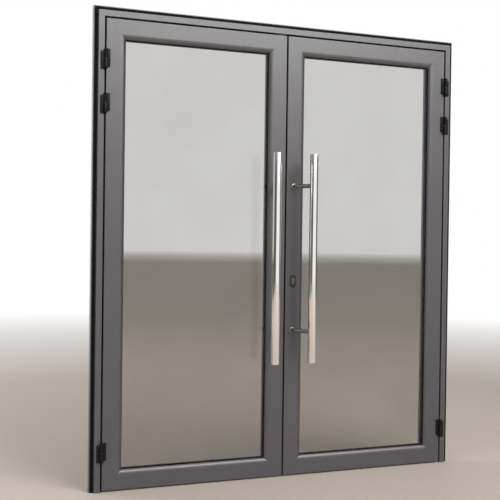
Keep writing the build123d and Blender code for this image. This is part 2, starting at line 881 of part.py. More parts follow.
    with BuildPart() as pull_bolts:
        post_places = [(side * post_x, height) for height in post_heights]
        round_in(-pull_bolt_depth, depth, post_places, pull_bolt_radius)
        round_in(depth, depth + pull_bolt_head_height, post_places, pull_bolt_head_radius)
        chamfer(faces().group_by(Axis.Y)[-1].edges(), edge_chamfer)
    save(pull_bolts, f"{name}_pull_bolts")

# Strike plate on the left leaf's meeting edge, across the gap from the lock's face plate
with BuildPart() as strike_plate:
    with BuildSketch(Plane.YZ.offset(-meeting_edge)):
        with Locations((lock_centre, strike_centre)):
            RectangleRounded(lock_plate_width, strike_length, edge_radius)
            Rectangle(
                lock_case_thickness - 2 * lock_case_wall + strike_room, bolt_height + strike_room, mode=CUT
            )
    extrude(amount=lock_plate_thickness)
    for head in edge_screws["left"][:2]:
        plate_screw(head, Vector(LEFT, 0, 0), CUT)
save(strike_plate, "strike_plate")

# Flush bolts: a case behind a face plate, and a rod with a thumb piece that slides in it
with BuildPart() as flush_bolt_cases:
    for up, centre in flush_centres.items():
        half_width = flush_case_width / 2
        slab(
            lock_centre - half_width,
            lock_centre + half_width,
            -meeting_edge - flush_case_depth,
            centre - flush_case_length / 2,
            -meeting_edge,
            centre + flush_case_length / 2,
        )
        with BuildSketch(Plane.YZ.offset(-meeting_edge)):
            with Locations((lock_centre, centre)):
                RectangleRounded(flush_plate_width, flush_plate_length, edge_radius)
        extrude(amount=lock_plate_thickness)
        place = [(-flush_x, lock_centre)]
        slot_half = thumb_width / 2 + slide_clearance
        low, high = sorted((flush_thumb_middles[up], flush_thumb_middles[up] + up * flush_throw))
        slab(
            lock_centre - slot_half,
            lock_centre + slot_half,
            -flush_x,
            low - thumb_height / 2 - overcut,
            0,
            high + thumb_height / 2 + overcut,
            CUT,
        )
        rod_radius = flush_rod_radius + running_clearance
        round_up(centre - flush_case_length, centre + flush_case_length, place, rod_radius, CUT)
    for head in edge_screws["left"][2:]:
        plate_screw(head, Vector(LEFT, 0, 0), CUT)
save(flush_bolt_cases, "flush_bolt_cases")

for up, label in ((1, "top_flush_bolt"), (-1, "bottom_flush_bolt")):
    with BuildPart() as flush_bolt:
        middle = flush_thumb_middles[up]
        tip = flush_ends[up] - up * flush_rest_inset
        round_up(middle - up * thumb_height, tip, [(-flush_x, lock_centre)], flush_rod_radius)
        chamfer(faces().sort_by(Axis.Z)[-1 if up > 0 else 0].edges(), edge_chamfer)
        slab(
            lock_centre - thumb_width / 2,
            lock_centre + thumb_width / 2,
            -flush_x,
            middle - thumb_height / 2,
            -meeting_edge + lock_plate_thickness - thumb_inset,
            middle + thumb_height / 2,
        )
    save(flush_bolt, label)

# Lock: a case behind a face plate, its bolt and the cylinder that drives it
with BuildPart() as lock_case:
    half_case = lock_case_thickness / 2
    case_low = lock_plate_centre - lock_case_length / 2
    case_high = lock_plate_centre + lock_case_length / 2
    case_end = meeting_edge + lock_case_depth
    slab(lock_centre - half_case, lock_centre + half_case, meeting_edge, case_low, case_end, case_high)
    slab(
        lock_centre - half_case + lock_case_wall,
        lock_centre + half_case - lock_case_wall,
        meeting_edge + lock_case_wall,
        case_low + lock_case_wall,
        case_end - lock_case_wall,
        case_high - lock_case_wall,
        CUT,
    )
    bolt_half = lock_case_thickness / 2 - lock_case_wall
    slab(
        lock_centre - bolt_half,
        lock_centre + bolt_half,
        meeting_edge - overcut,
        bolt_low - slide_clearance,
        meeting_edge + 2 * lock_case_wall,
        bolt_low + bolt_height + slide_clearance,
        CUT,
    )
    euro_hole(0, depth, slide_clearance)
    screw_place = [(lock_centre, lock_height - cylinder_tail_drop)]
    hole_ends = (meeting_edge - overcut, meeting_edge + lock_case_wall + overcut)
    round_across(*hole_ends, screw_place, cylinder_screw_radius + slide_clearance, CUT)
save(lock_case, "lock_case")

with BuildPart() as lock_face_plate:
    with BuildSketch(Plane.YZ.offset(meeting_edge - lock_plate_thickness)):
        with Locations((lock_centre, lock_plate_centre)):
            RectangleRounded(lock_plate_width, lock_plate_length, edge_radius)
        with Locations((lock_centre, strike_centre)):
            Rectangle(2 * bolt_half, bolt_height + 2 * slide_clearance, mode=CUT)
        with Locations((lock_centre, lock_height - cylinder_tail_drop)):
            Circle(cylinder_screw_radius + slide_clearance, mode=CUT)
    extrude(amount=lock_plate_thickness)
    for head in edge_screws["right"]:
        plate_screw(head, Vector(RIGHT, 0, 0), CUT)
save(lock_face_plate, "lock_face_plate")

with BuildPart() as deadbolt:
    bolt_from = meeting_edge - lock_plate_thickness + bolt_inset
    slab(
        lock_centre - bolt_half + slide_clearance,
        lock_centre + bolt_half - slide_clearance,
        bolt_from,
        bolt_low,
        bolt_from + bolt_throw + bolt_held,
        bolt_low + bolt_height,
    )
    fillet(edges().filter_by(Axis.Z).group_by(Axis.X)[0], radius=edge_radius)
save(deadbolt, "deadbolt")

with BuildPart() as lock_cylinder:
    with BuildSketch(upright(-cylinder_proud)):
        euro_profile()
    extrude(amount=-(depth + 2 * cylinder_proud))
    plug_place = [(lock_x, lock_height)]
    round_in(-cylinder_proud, depth + cylinder_proud, plug_place, plug_radius + running_clearance, CUT)
    bridge_top = lock_height - cylinder_tail_drop - cylinder_tail_width / 2 + bridge_height
    slab(
        lock_centre - cam_gap / 2,
        lock_centre + cam_gap / 2,
        lock_x - cylinder_radius - overcut,
        bridge_top,
        lock_x + cylinder_radius + overcut,
        lock_height + cylinder_radius + overcut,
        CUT,
    )
    screw_place = [(lock_centre, lock_height - cylinder_tail_drop)]
    hole_ends = (lock_x - cylinder_tail_width, lock_x + cylinder_tail_width)
    round_across(*hole_ends, screw_place, cylinder_screw_radius, CUT)
save(lock_cylinder, "lock_cylinder")

with BuildPart() as cylinder_plug:
    round_in(-cylinder_proud, depth + cylinder_proud, [(lock_x, lock_height)], plug_radius)
    slab(
        -cylinder_proud,
        -cylinder_proud + key_slot_depth,
        lock_x - key_slot_width / 2,
        lock_height - key_slot_height / 2,
        lock_x + key_slot_width / 2,
        lock_height + key_slot_height / 2,
        CUT,
    )
    cam_from = lock_centre - cam_width / 2
    cam_to = lock_centre + cam_width / 2
    round_in(cam_from, cam_to, [(lock_x, lock_height)], cylinder_radius)
    slab(
        cam_from,
        cam_to,
        lock_x - cam_nose / 2,
        lock_height,
        lock_x + cam_nose / 2,
        lock_height + cam_radius - cam_clearance,
    )
save(cylinder_plug, "cylinder_plug")

with BuildPart() as thumb_turn:
    turn_from = depth + cylinder_proud
    round_in(turn_from, turn_from + turn_neck, [(lock_x, lock_height)], plug_radius)
    with BuildSketch(upright(turn_from + turn_neck)):
        with Locations((lock_x, lock_height)):
            SlotOverall(turn_width, turn_thickness, rotation=90)
    extrude(amount=-turn_length)
    fillet(faces().sort_by(Axis.Y)[-1].edges(), radius=edge_radius)
save(thumb_turn, "thumb_turn")

with BuildPart() as lock_escutcheons:
    for y0, y1 in ((-escutcheon_thickness, 0), (depth, depth + escutcheon_thickness)):
        with BuildSketch(upright(y0)):
            with Locations((lock_x, lock_height - escutcheon_drop)):
                Ellipse(escutcheon_width / 2, escutcheon_length / 2)
        extrude(amount=-(y1 - y0))
    hole_ends = (-escutcheon_thickness - overcut, depth + escutcheon_thickness + overcut)
    euro_hole(*hole_ends, slide_clearance)
save(lock_escutcheons, "lock_escutcheons")

with BuildPart() as cylinder_screw:
    screw_place = [(lock_centre, lock_height - cylinder_tail_drop)]
    screw_from = meeting_edge - lock_plate_thickness
    round_across(screw_from, screw_from + cylinder_screw_length, screw_place, cylinder_screw_radius)
save(cylinder_screw, "cylinder_screw")
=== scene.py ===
"""The looks of the double-leaf glass entrance door: finishes, dressed pieces, floor, lamps and camera."""
import json
import logging
import math
from contextlib import contextmanager
from dataclasses import dataclass
from enum import Enum
from typing import Callable, ClassVar, Iterator, Sequence

import bpy
from mathutils import Matrix, Vector


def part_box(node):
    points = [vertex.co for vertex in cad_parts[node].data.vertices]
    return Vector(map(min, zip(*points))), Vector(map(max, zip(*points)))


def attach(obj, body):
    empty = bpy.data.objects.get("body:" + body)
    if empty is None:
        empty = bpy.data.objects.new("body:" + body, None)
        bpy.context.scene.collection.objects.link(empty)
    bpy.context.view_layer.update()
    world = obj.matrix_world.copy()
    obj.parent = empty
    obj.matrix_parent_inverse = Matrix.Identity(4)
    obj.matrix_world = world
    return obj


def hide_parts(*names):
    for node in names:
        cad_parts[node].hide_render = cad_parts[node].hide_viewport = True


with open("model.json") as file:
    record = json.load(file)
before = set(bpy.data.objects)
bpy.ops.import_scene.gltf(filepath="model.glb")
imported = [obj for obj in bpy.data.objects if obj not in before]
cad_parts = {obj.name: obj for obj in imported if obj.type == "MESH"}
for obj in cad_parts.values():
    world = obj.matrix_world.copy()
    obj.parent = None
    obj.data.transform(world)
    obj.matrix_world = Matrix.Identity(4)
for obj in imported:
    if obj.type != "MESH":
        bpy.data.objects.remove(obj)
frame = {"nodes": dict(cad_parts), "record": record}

log = logging.getLogger("entrance_door")

Colour = tuple[float, float, float]
Span = tuple[float, float]
Outline = tuple[tuple[float, float], ...]
Point = tuple[float, float, float] | Vector
Corners = tuple[Vector, Vector]
Piece = bpy.types.Object
Socket = bpy.types.NodeSocket
Choice = Callable[[Vector, Vector], bool]

MM = 0.001

# The shares of a noise's range that a finish spreads over its own
WHOLE: Span = (0.0, 1.0)
MIDDLE: Span = (0.3, 0.7)
CORE: Span = (0.35, 0.65)

SIDES = (("left", -1), ("right", 1))


def outline_at(radius: float, rise: float, steps: Outline) -> list[tuple[float, float]]:
    """Points of a turned outline, given in millimetres from one radius and height."""
    return [(radius + across * MM, rise + up * MM) for across, up in steps]


def corners(node: str) -> Corners:
    """The lowest and highest corners of a CAD node, in metres."""
    low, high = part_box(node)
    return Vector(low), Vector(high)


class Grain(Enum):
    """How a metal was brushed, as lumps of noise in a metre along X, Y and Z."""

    ALONG_Z = (2600.0, 2600.0, 6.0)
    NONE = (700.0, 700.0, 700.0)


@dataclass
class NodeSums:
    """Sums on the sockets of one node tree, a material's or the world's."""

    tree: bpy.types.NodeTree

    def join(self, source: Socket, target: Socket) -> None:
        """Link one socket to another."""
        self.tree.links.new(source, target)

    def feed(self, socket: Socket, value: object) -> None:
        """Give an input socket a fixed value or a link.

        Args:
            socket: The input socket.
            value: A number, a colour or an output socket.
        """
        if isinstance(value, bpy.types.NodeSocket):
            self.join(value, socket)
        elif isinstance(value, tuple):
            socket.default_value = (*value, 1.0)
        else:
            socket.default_value = value

    def math(self, operation: str, first: Socket | float, second: Socket | float = 0.0) -> Socket:
        """One sum on two values.

        Args:
            operation: The Math node's operation.
            first: The first value or socket.
            second: The second value or socket.

        Returns:
            The result.
        """
        node = self.tree.nodes.new("ShaderNodeMath")
        node.operation = operation
        for socket, value in zip(node.inputs, (first, second)):
            self.feed(socket, value)
        return node.outputs["Value"]

    def blend(self, first: Socket, second: Socket, share: float) -> Socket:
        """Two values added, the first by this share and the second by the rest."""
        rest = self.math("MULTIPLY", second, 1.0 - share)
        return self.math("ADD", self.math("MULTIPLY", first, share), rest)

    def spread(self, value: Socket, source: Span, target: Span) -> Socket:
        """Map one range onto another, held at its ends.

        Args:
            value: What is mapped.
            source: The range it comes from.
            target: The range it goes to.

        Returns:
            The mapped value.
        """
        node = self.tree.nodes.new("ShaderNodeMapRange")
        names = ("Value", "From Min", "From Max", "To Min", "To Max")
        for name, given in zip(names, (value, *source, *target)):
            self.feed(node.inputs[name], given)
        return node.outputs["Result"]

    def axis(self, vector: Socket, letter: str) -> Socket:
        """One coordinate of a vector.

        Args:
            vector: The vector.
            letter: "X", "Y" or "Z".

        Returns:
            The coordinate.
        """
        node = self.tree.nodes.new("ShaderNodeSeparateXYZ")
        self.join(vector, node.inputs["Vector"])
        return node.outputs[letter]

    def light(self, kind: str, colour: Colour, strength: Socket | float) -> Socket:
        """A shader that shines.

        Args:
            kind: "Background" or "Emission".
            colour: Its colour.
            strength: Its strength.

        Returns:
            The shader.
        """
        node = self.tree.nodes.new(f"ShaderNode{kind}")
        self.feed(node.inputs["Color"], colour)
        self.feed(node.inputs["Strength"], strength)
        return node.outputs[kind]

    def mixed(self, share: Socket, first: Socket, second: Socket) -> Socket:
        """Two shaders mixed.

        Args:
            share: 0 for the first shader and 1 for the second.
            first: The first shader.
            second: The second shader.

        Returns:
            The mixed shader.
        """
        node = self.tree.nodes.new("ShaderNodeMixShader")
        for socket, given in zip(node.inputs, (share, first, second)):
            self.join(given, socket)
        return node.outputs["Shader"]


class Graph(NodeSums):
    """A material's shader, built node by node from Object coordinates."""

    def __init__(self, name: str) -> None:
        """Start a material with one Principled shader.

        Args:
            name: The material's name.
        """
        self.material = bpy.data.materials.new(name)
        self.material.use_nodes = True
        super().__init__(self.material.node_tree)
        self.tree.nodes.clear()
        self.output = self.tree.nodes.new("ShaderNodeOutputMaterial")
        self.shader = self.tree.nodes.new("ShaderNodeBsdfPrincipled")
        self.join(self.shader.outputs["BSDF"], self.output.inputs["Surface"])
        self.place = self.tree.nodes.new("ShaderNodeTexCoord").outputs["Object"]

    def set(self, **values: object) -> None:
        """Feed some of the shader's sockets, named with underscores for spaces."""
        for name, value in values.items():
            self.feed(self.shader.inputs[name.replace("_", " ")], value)

    def stretched(self, scale: Point) -> Socket:
        """Object coordinates, scaled along each axis.

        Args:
            scale: The scale along X, Y and Z.

        Returns:
            The scaled coordinates.
        """
        mapping = self.tree.nodes.new("ShaderNodeMapping")
        mapping.inputs["Scale"].default_value = scale
        self.join(self.place, mapping.inputs["Vector"])
        return mapping.outputs["Vector"]

    def noise(self, scale: float, detail: float, at: Socket | None = None) -> Socket:
        """Soft noise between 0 and 1.

        Args:
            scale: How many lumps there are in a metre, or in one unit of the given coordinates.
            detail: How many finer layers are added.
            at: Other coordinates than the plain Object ones.

        Returns:
            The noise value.
        """
        node = self.tree.nodes.new("ShaderNodeTexNoise")
        node.inputs["Scale"].default_value = scale
        node.inputs["Detail"].default_value = detail
        self.join(at or self.place, node.inputs["Vector"])
        return node.outputs["Fac"]

    def tint(self, share: Socket, low: Colour | Socket, high: Colour) -> Socket:
        """A colour between two.

        Args:
            share: 0 for the first colour and 1 for the second.
            low: The first colour.
            high: The second colour.

        Returns:
            The mixed colour.
        """
        node = self.tree.nodes.new("ShaderNodeMix")
        node.data_type = "RGBA"
        for name, given in (("Factor", share), ("A", low), ("B", high)):
            self.feed(node.inputs[name], given)
        return node.outputs["Result"]

    def bump(self, height: Socket, depth: float, strength: float, under: Socket | None = None) -> Socket:
        """A surface relief.

        Args:
            height: The relief between 0 and 1.
            depth: Its depth in metres.
            strength: How much of it shows.
            under: The relief that it lies on.

        Returns:
            The bent normal.
        """
        node = self.tree.nodes.new("ShaderNodeBump")
        node.inputs["Distance"].default_value = depth
        node.inputs["Strength"].default_value = strength
        self.join(height, node.inputs["Height"])
        if under is not None:
            self.join(under, node.inputs["Normal"])
        return node.outputs["Normal"]


@dataclass(frozen=True)
class Mitres:
    """Where the mitres of a frame of profiles lie, as the frame's own edges in metres."""

    near: float
    far: float
    low: float
    high: float
    soft_share: float = 0.4

    def hairline(self, graph: Graph, width: float) -> Socket:
        """The fine joint lines at the frame's corners.

        Args:
            graph: The material that shows them.
            width: The line's width in metres.

        Returns:
            1 on the lines and 0 beside them.
        """
        across = graph.math("ABSOLUTE", graph.axis(graph.place, "X"))
        from_far = graph.math("SUBTRACT", self.far, across)
        from_near = graph.math("SUBTRACT", across, self.near)
        side_room = graph.math("MINIMUM", from_far, from_near)
        rise = graph.axis(graph.place, "Z")
        from_top = graph.math("SUBTRACT", self.high, rise)
        from_foot = graph.math("SUBTRACT", rise, self.low)
        end_room = graph.math("MINIMUM", from_top, from_foot)
        off_line = graph.math("ABSOLUTE", graph.math("SUBTRACT", side_room, end_room))
        return graph.spread(off_line, (width * self.soft_share, width), (1.0, 0.0))


@dataclass(frozen=True)
class PowderCoat:
    """Satin grey powder coat on aluminium, with its fine orange peel and the joints at the mitres."""

    name: str
    mitres: Mitres
    colour: Colour = (0.058, 0.053, 0.060)
    shade: Colour = (0.049, 0.045, 0.051)
    roughness: Span = (0.34, 0.42)
    coat: float = 0.55
    coat_roughness: float = 0.36
    coat_ior: float = 1.6
    cloud_scale: float = 9.0
    cloud_share: float = 0.6
    drawn_scale: float = 60.0
    drawn_stretch: float = 0.02
    joint: Colour = (0.02, 0.02, 0.021)
    joint_width: float = 0.9 * MM
    joint_depth: float = 0.3 * MM
    joint_strength: float = 0.8
    peel_scale: float = 900.0
    peel_depth: float = 0.03 * MM
    peel_strength: float = 0.5

    def make(self) -> bpy.types.Material:
        """Build the finish.

        Returns:
            Its material.
        """
        graph = Graph(self.name)
        cloud = graph.noise(self.cloud_scale, detail=4.0)
        along = graph.stretched((1.0, 1.0, self.drawn_stretch))
        drawn = graph.noise(self.drawn_scale, detail=3.0, at=along)
        both = graph.blend(cloud, drawn, self.cloud_share)
        paint = graph.tint(graph.spread(both, CORE, WHOLE), self.shade, self.colour)
        line = self.mitres.hairline(graph, self.joint_width)
        beside = graph.math("SUBTRACT", 1.0, line)
        groove = graph.bump(beside, self.joint_depth, self.joint_strength)
        peel = graph.noise(self.peel_scale, detail=3.0)
        graph.set(
            Base_Color=graph.tint(line, paint, self.joint),
            Roughness=graph.spread(cloud, MIDDLE, self.roughness),
            Normal=graph.bump(peel, self.peel_depth, self.peel_strength, groove),
            Coat_Weight=self.coat,
            Coat_Roughness=self.coat_roughness,
            Coat_IOR=self.coat_ior,
        )
        return graph.material


@dataclass(frozen=True)
class DoorGlass:
    """Neutral grey insulating glass with a faint roller wave and a little dust."""

    name: str = "door_glass"
    tint: Colour = (0.77, 0.765, 0.755)
    dusty_tint: Colour = (0.745, 0.74, 0.73)
    ior: float = 1.36
    dust_scale: float = 2.5
    dust_range: Span = (0.4, 0.7)
    wave_scale: float = 1.6
    wave_stretch: float = 0.5
    wave_depth: float = 0.8 * MM
    wave_strength: float = 0.1

    def make(self) -> bpy.types.Material:
        """Build the finish.

        Returns:
            Its material.
        """
        graph = Graph(self.name)
        wave = graph.noise(self.wave_scale, detail=0.0, at=graph.stretched((1.0, 1.0, self.wave_stretch)))
        dust = graph.spread(graph.noise(self.dust_scale, detail=4.0), self.dust_range, WHOLE)
        graph.set(
            Base_Color=graph.tint(dust, self.tint, self.dusty_tint),
            Roughness=0.0,
            Transmission_Weight=1.0,
            IOR=self.ior,
            Normal=graph.bump(wave, self.wave_depth, self.wave_strength),
        )
        return graph.material


@dataclass(frozen=True)
class Metal:
    """A bare or plated metal, brushed or not."""

    name: str
    light: Colour
    dark: Colour
    roughness: Span
    grain: Grain = Grain.NONE
    anisotropy: float = 0.0
    scratch_depth: float = 0.004 * MM
    scratch_strength: float = 0.4
    hair_share: float = 0.65
    cloud_scale: float = 14.0

    def make(self) -> bpy.types.Material:
        """Build the finish.

        Returns:
            Its material.
        """
        graph = Graph(self.name)
        hair = graph.noise(1.0, detail=4.0, at=graph.stretched(self.grain.value))
        both = graph.blend(hair, graph.noise(self.cloud_scale, detail=4.0), self.hair_share)
        graph.set(
            Base_Color=graph.tint(graph.spread(both, CORE, WHOLE), self.dark, self.light),
            Metallic=1.0,
            Roughness=graph.spread(both, MIDDLE, self.roughness),
            Anisotropic=self.anisotropy,
            Normal=graph.bump(hair, self.scratch_depth, self.scratch_strength),
        )
        return graph.material


@dataclass(frozen=True)
class Moulded:
    """Rubber, nylon, bristle or black paint: a dark dielectric with a fine grain."""

    name: str
    light: Colour
    dark: Colour
    roughness: Span
    grain_size: float = 0.6 * MM
    grain_depth: float = 0.02 * MM
    grain_strength: float = 0.6
    stretch: Point = (1.0, 1.0, 1.0)
    gloss: float = 0.5
    cloud_scale: float = 25.0

    def make(self) -> bpy.types.Material:
        """Build the finish.

        Returns:
            Its material.
        """
        graph = Graph(self.name)
        grain = graph.noise(1.0 / self.grain_size, detail=3.0, at=graph.stretched(self.stretch))
        cloud = graph.spread(graph.noise(self.cloud_scale, detail=3.0), MIDDLE, WHOLE)
        graph.set(
            Base_Color=graph.tint(cloud, self.dark, self.light),
            Roughness=graph.spread(grain, MIDDLE, self.roughness),
            Specular_IOR_Level=self.gloss,
            Normal=graph.bump(grain, self.grain_depth, self.grain_strength),
        )
        return graph.material


@dataclass
class Finishes:
    """One material for each finish, and which node wears which."""

    leaf_mitres: Mitres = Mitres(near=0.004, far=0.894, low=0.008, high=2.146)
    frame_mitres: Mitres = Mitres(near=-1.0, far=0.930, low=-1.0, high=2.182)
    made: ClassVar[dict[str, bpy.types.Material]] = {}

    def make(self) -> None:
        """Build every material once."""
        steel = (0.93, 0.90, 0.875), (0.84, 0.80, 0.775)
        aluminium = (0.72, 0.72, 0.73), (0.58, 0.58, 0.6)
        rubber = (0.006, 0.006, 0.0065), (0.003, 0.003, 0.0035)
        hinge = (0.010, 0.0095, 0.011), (0.006, 0.006, 0.0065)
        screw = (0.012, 0.012, 0.013), (0.007, 0.007, 0.008)
        escutcheon = (0.018, 0.018, 0.019), (0.010, 0.010, 0.011)
        lock = (0.62, 0.62, 0.64), (0.48, 0.48, 0.5)
        hairs = {"grain_size": 0.5 * MM, "grain_depth": 0.2 * MM, "stretch": (1.0, 1.0, 0.05)}
        finishes = (
            PowderCoat("leaf_coat", self.leaf_mitres),
            PowderCoat("frame_coat", self.frame_mitres),
            DoorGlass(),
            Metal("stainless", *steel, (0.07, 0.14), Grain.ALONG_Z),
            # Painted shade: the posts and roses are the same stainless as the bar, given a darker colour to
            # stand for the shade and dark reflections they show.
            Metal("post_steel_painted_shade", (0.40, 0.375, 0.36), (0.31, 0.29, 0.28), (0.2, 0.3)),
            Metal("plain_aluminium", *aluminium, (0.3, 0.45), Grain.ALONG_Z, anisotropy=0.2),
            Metal("lock_steel", *lock, (0.22, 0.36), Grain.ALONG_Z, anisotropy=0.3),
            Metal("nickel", (0.74, 0.71, 0.67), (0.62, 0.6, 0.57), (0.14, 0.24)),
            Moulded("rubber_seal", *rubber, (0.6, 0.8), gloss=0.08),
            Moulded("black_spacer", (0.008,) * 3, (0.005,) * 3, (0.5, 0.65), gloss=0.1),
            Moulded("hinge_black", *hinge, (0.30, 0.40), grain_size=0.8 * MM, gloss=0.12),
            Moulded("screw_black", *screw, (0.26, 0.36), grain_size=0.5 * MM, gloss=0.2),
            Moulded("escutcheon_black", *escutcheon, (0.24, 0.36), grain_size=0.8 * MM),
            Moulded("nylon", (0.05, 0.05, 0.052), (0.035, 0.035, 0.036), (0.35, 0.5)),
            Moulded("bristle", (0.03,) * 3, (0.008,) * 3, (0.6, 0.9), **hairs),
        )
        for finish in finishes:
            self.made[finish.name] = finish.make()

    @classmethod
    def wear(cls, piece: Piece, name: str) -> None:
        """Give a piece one finish all over."""
        piece.data.materials.clear()
        piece.data.materials.append(cls.made[name])

    def dress_nodes(self) -> None:
        """Give every CAD node its finish, by the slot that the record names."""
        bodies = frame["record"]["behaviour"]["bodies"]
        for part in frame["record"]["subparts"]:
            node = part["node"]
            name = part["material_slot"]
            if name == "powder_coat":
                name = "frame_coat" if node in bodies["frame"] else "leaf_coat"
            if node.endswith("pane_spacer"):
                name = "black_spacer"
            slots = frame["nodes"][node].data.materials
            if not slots:
                slots.append(self.made[name])
            for index in range(len(slots)):
                slots[index] = self.made[name]
            log.info("%s wears %s", node, name)


class Bench:
    """Modelling steps with Blender's own tools, on one mesh at a time."""

    @staticmethod
    def only(*pieces: Piece) -> None:
        """Select these pieces and nothing else, and make the first one active.

        Args:
            pieces: The pieces.
        """
        bpy.ops.object.select_all(action="DESELECT")
        for piece in pieces:
            piece.select_set(True)
        bpy.context.view_layer.objects.active = pieces[0]

    @staticmethod
    def settle(piece: Piece) -> None:
        """Put a piece's place, turn and scale into its mesh."""
        Bench.only(piece)
        bpy.ops.object.transform_apply(location=True, rotation=True, scale=True)

    @staticmethod
    @contextmanager
    def editing(piece: Piece, kind: str, wanted: Choice | None = None) -> Iterator[None]:
        """Edit mode with all or some of a piece selected, then object mode again.

        Args:
            piece: The piece.
            kind: What gets selected, "FACE" or "VERT".
            wanted: Says yes for a face's or point's place and normal; without it all are selected.

        Yields:
            Nothing, while edit mode lasts.
        """
        Bench.only(piece)
        bpy.ops.object.mode_set(mode="EDIT")
        bpy.ops.mesh.select_mode(type=kind)
        bpy.ops.mesh.select_all(action="DESELECT" if wanted else "SELECT")
        if wanted:
            bpy.ops.object.mode_set(mode="OBJECT")
            for part in piece.data.polygons if kind == "FACE" else piece.data.vertices:
                part.select = wanted(part.center if kind == "FACE" else part.co, part.normal)
            bpy.ops.object.mode_set(mode="EDIT")
        yield
        bpy.ops.object.mode_set(mode="OBJECT")

    @staticmethod
    def outwards(piece: Piece) -> None:
        """Merge doubled points and turn every face outwards.

        Args:
            piece: The piece.
        """
        with Bench.editing(piece, "VERT"):
            bpy.ops.mesh.remove_doubles(threshold=0.001 * MM)
            bpy.ops.mesh.normals_make_consistent(inside=False)

    @staticmethod
    def block(name: str, low: Point, high: Point) -> Piece:
        """A box between two corners, as a start.

        Args:
            name: The piece's name.
            low: The lowest corner.
            high: The highest corner.

        Returns:
            The box.
        """
        low, high = Vector(low), Vector(high)
        bpy.ops.mesh.primitive_cube_add(size=1.0, location=(low + high) / 2)
        piece = bpy.context.object
        piece.name = name
        piece.scale = high - low
        Bench.settle(piece)
        return piece

    @staticmethod
    def turned(name: str, steps: Sequence[tuple[float, float]], sides: int = 48) -> Piece:
        """A turned piece that stands on its axis along Z, grown from its foot by extruding and scaling.

        Args:
            name: The piece's name.
            steps: The outline from foot to top, as radius and height.
            sides: How many faces go around it.

        Returns:
            The piece.
        """
        radius, rise = steps[0]
        bpy.ops.mesh.primitive_circle_add(vertices=sides, radius=radius, fill_type="NGON")
        piece = bpy.context.object
        piece.name = name
        piece.location.z = rise
        Bench.settle(piece)
        with Bench.editing(piece, "FACE"):
            for next_radius, next_rise in steps[1:]:
                bpy.ops.mesh.extrude_region_move(TRANSFORM_OT_translate={"value": (0, 0, next_rise - rise)})
                share = next_radius / radius
                bpy.ops.transform.resize(value=(share, share, 1.0), center_override=(0, 0, next_rise))
                radius, rise = next_radius, next_rise
        Bench.outwards(piece)
        return piece

    @staticmethod
    def finish_with(piece: Piece, kind: str, **settings: object) -> None:
        """Add one modifier to a piece and apply it.

        Args:
            piece: The piece.
            kind: The modifier's type.
            settings: The modifier's settings.
        """
        Bench.only(piece)
        modifier = piece.modifiers.new(kind.lower(), kind)
        for name, value in settings.items():
            setattr(modifier, name, value)
        bpy.ops.object.modifier_apply(modifier=modifier.name)

    @staticmethod
    def round_edges(piece: Piece, width: float, segments: int, angle: float = 35.0) -> None:
        """Round every edge of a piece that is sharper than an angle in degrees."""
        limit = {"limit_method": "ANGLE", "angle_limit": math.radians(angle)}
        Bench.finish_with(piece, "BEVEL", width=width, segments=segments, **limit)

    @staticmethod
    def smooth(piece: Piece, angle: float = 32.0) -> None:
        """Shade a piece smooth except over its sharp edges."""
        Bench.only(piece)
        bpy.ops.object.shade_smooth_by_angle(angle=math.radians(angle))

    @staticmethod
    def cut(piece: Piece, tool: Piece) -> None:
        """Take the tool's shape out of a piece, and remove the tool."""
        Bench.finish_with(piece, "BOOLEAN", operation="DIFFERENCE", object=tool, solver="EXACT")
        bpy.data.objects.remove(tool)

    @staticmethod
    def join(name: str, pieces: Sequence[Piece]) -> Piece:
        """Make several pieces one object.

        Args:
            name: The object's name.
            pieces: The pieces.

        Returns:
            The object.
        """
        Bench.only(*pieces)
        bpy.ops.object.join()
        piece = bpy.context.object
        piece.name = name
        piece.data.name = name
        return piece

    @staticmethod
    def copy(piece: Piece, at: Point, along: Point | None = None, flip: Point = (1, 1, 1)) -> Piece:
        """Copy a piece with a mesh of its own.

        Args:
            piece: What is copied.
            at: Where the copy's origin goes.
            along: Where the copy's Z axis points, with its Y axis kept upwards.
            flip: 1 or -1 on each axis, before it is turned and moved.

        Returns:
            The copy.
        """
        Bench.only(piece)
        bpy.ops.object.duplicate()
        twin = bpy.context.object
        twin.scale = flip
        Bench.settle(twin)
        if along is not None:
            twin.rotation_euler = Vector(along).to_track_quat("Z", "Y").to_euler()
        twin.location = at
        Bench.settle(twin)
        if flip[0] * flip[1] * flip[2] < 0:
            Bench.outwards(twin)
        return twin

    @staticmethod
    def copies(name: str, piece: Piece, places: Sequence[Point], along: Point | None, flip: Point) -> Piece:
        """Copies of a piece as one object, shaded smooth.

        Args:
            name: The object's name.
            piece: What is copied.
            places: Where each copy's origin goes.
            along: Where the copies' Z axis points.
            flip: 1 or -1 on each axis, before they are turned and moved.

        Returns:
            The object.
        """
        group = Bench.join(name, [Bench.copy(piece, place, along, flip) for place in places])
        Bench.smooth(group)
        return group

    @staticmethod
    def hand_over(
        piece: Piece, body: str, slot: str, replaced: Sequence[str] = (), finish: str | None = None
    ) -> None:
        """Give a finished piece its finish and its body, and hide the CAD nodes that it stands for.

        Args:
            piece: The piece.
            body: The body that it rides on.
            slot: The record's material slot.
            replaced: The CAD nodes that it stands for.
            finish: The finish, where its name isn't the slot's.
        """
        Finishes.wear(piece, finish or slot)
        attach(piece, body)
        if replaced:
            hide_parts(*replaced)
        log.info("%s rides on %s, %d faces", piece.name, body, len(piece.data.polygons))


